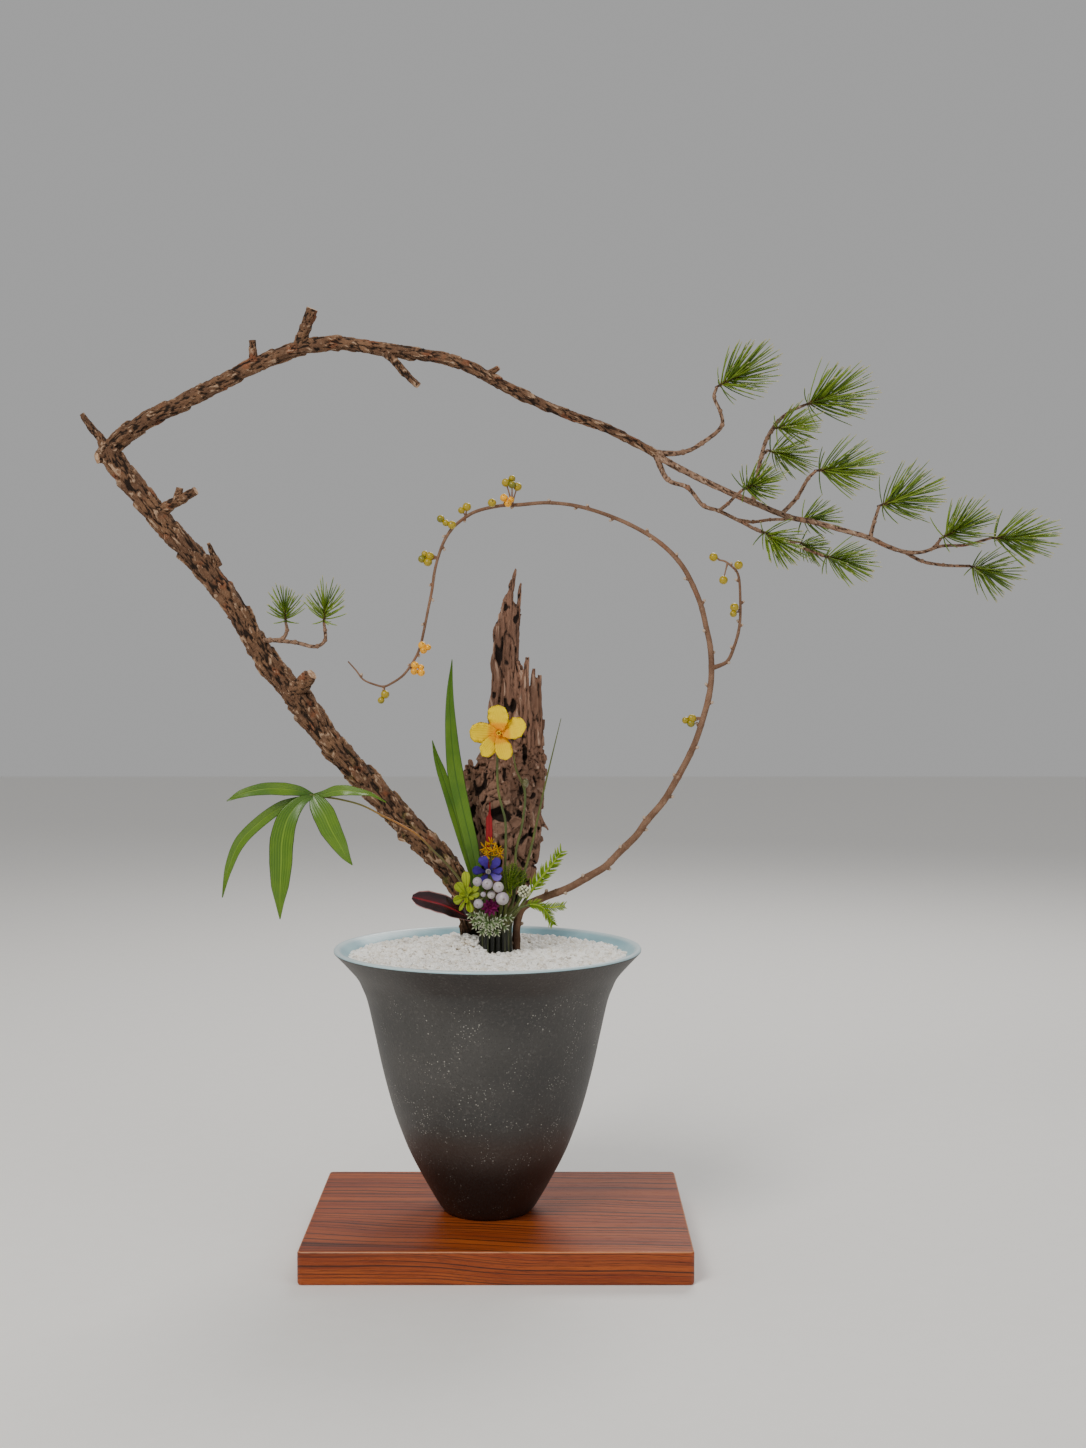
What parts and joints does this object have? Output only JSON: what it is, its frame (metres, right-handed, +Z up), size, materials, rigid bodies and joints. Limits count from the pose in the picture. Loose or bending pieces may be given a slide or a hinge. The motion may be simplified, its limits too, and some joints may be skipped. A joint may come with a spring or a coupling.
{
  "type": "ikebana arrangement",
  "caption": "Standing ikebana of a needled pine branch, berry vine, driftwood and small flowers rising from white gravel in a dark flared stoneware vase on a red-brown wooden board",
  "frame": {"origin": "centre of the board's underside", "axes": "+Z up, the front towards -Y, +X to the viewer's right"},
  "size_m": [0.7895, 0.25, 0.7659],
  "materials": {
    "board_wood": "oiled red-brown hardwood, satin",
    "stoneware": "dark charcoal glaze with pale specks, pale blue inside",
    "gravel": "small white pebbles, matte",
    "pine_bark": "rough flaking bark",
    "pine_needles": "fresh green, satin",
    "vine_bark": "smooth brown bark",
    "berry_olive": "olive-gold skin, satin",
    "berry_orange": "orange-gold skin, satin",
    "driftwood": "weathered grain, matte",
    "leaf_green": "fresh leaf, satin",
    "leaf_glossy": "fresh leaf, glossy",
    "stem_green": "green stem, satin",
    "petal_yellow": "soft petal, orange throat",
    "blade_red": "red blade, satin",
    "leaf_maroon": "dark red leaf, glossy",
    "spray_gold": "golden stars, matte",
    "petal_blue": "blue-violet petals, matte",
    "fruit_pale": "pale grey-lilac skin, satin",
    "head_cream": "pale knobbly head, matte",
    "petal_magenta": "magenta petals, matte",
    "leaf_lime": "lime leaf, satin",
    "leaf_pale_edged": "green leaf with pale edges, satin",
    "fern_green": "bright young leaflets, satin"
  },
  "bodies": {
    "root": {"board": "board_wood", "vase": "stoneware", "gravel": "gravel", "pine_branch": "pine_bark", "pine_tuft_trunk_left": "pine_needles", "pine_tuft_trunk_right": "pine_needles", "pine_tuft_rising": "pine_needles", "pine_tuft_crown": "pine_needles", "pine_tuft_crown_near": "pine_needles", "pine_tuft_crown_far": "pine_needles", "pine_tuft_middle": "pine_needles", "pine_tuft_fork_high": "pine_needles", "pine_tuft_fork_far": "pine_needles", "pine_tuft_fork_low": "pine_needles", "pine_tuft_under_far": "pine_needles", "pine_tuft_under": "pine_needles", "pine_tuft_upper_end": "pine_needles", "pine_tuft_near_end": "pine_needles", "pine_tuft_lower_end": "pine_needles", "pine_tuft_end": "pine_needles", "berry_vine": "vine_bark", "berries_top": "berry_olive", "berries_top_low": "berry_orange", "berry_top_left": "berry_olive", "berries_shoulder": "berry_olive", "berries_left_bend": "berry_olive", "berries_left_high": "berry_olive", "berries_left_low": "berry_orange", "berries_tail": "berry_orange", "berries_tail_end": "berry_olive", "berry_shoot_tip": "berry_olive", "berry_shoot_inner": "berry_olive", "berry_shoot_bend": "berry_olive", "berries_shoot_low": "berry_olive", "berries_right": "berry_olive", "driftwood": "driftwood", "sword_leaf_tall": "leaf_green", "sword_leaf_short": "leaf_green", "grass_blade": "stem_green", "leaf_spray": "leaf_glossy", "yellow_flower": "petal_yellow", "flower_stem": "stem_green", "bud_stem": "stem_green", "red_blade": "blade_red", "dark_red_leaf": "leaf_maroon", "golden_spray": "spray_gold", "blue_flower": "petal_blue", "pale_fruits": "fruit_pale", "knobbly_head": "head_cream", "magenta_flower": "petal_magenta", "lime_rosette": "leaf_lime", "fern_sprig_upper": "fern_green", "fern_sprig_lower": "fern_green", "feathery_tuft": "fern_green", "pale_edged_leaves": "leaf_pale_edged"}
  },
  "joints": []
}
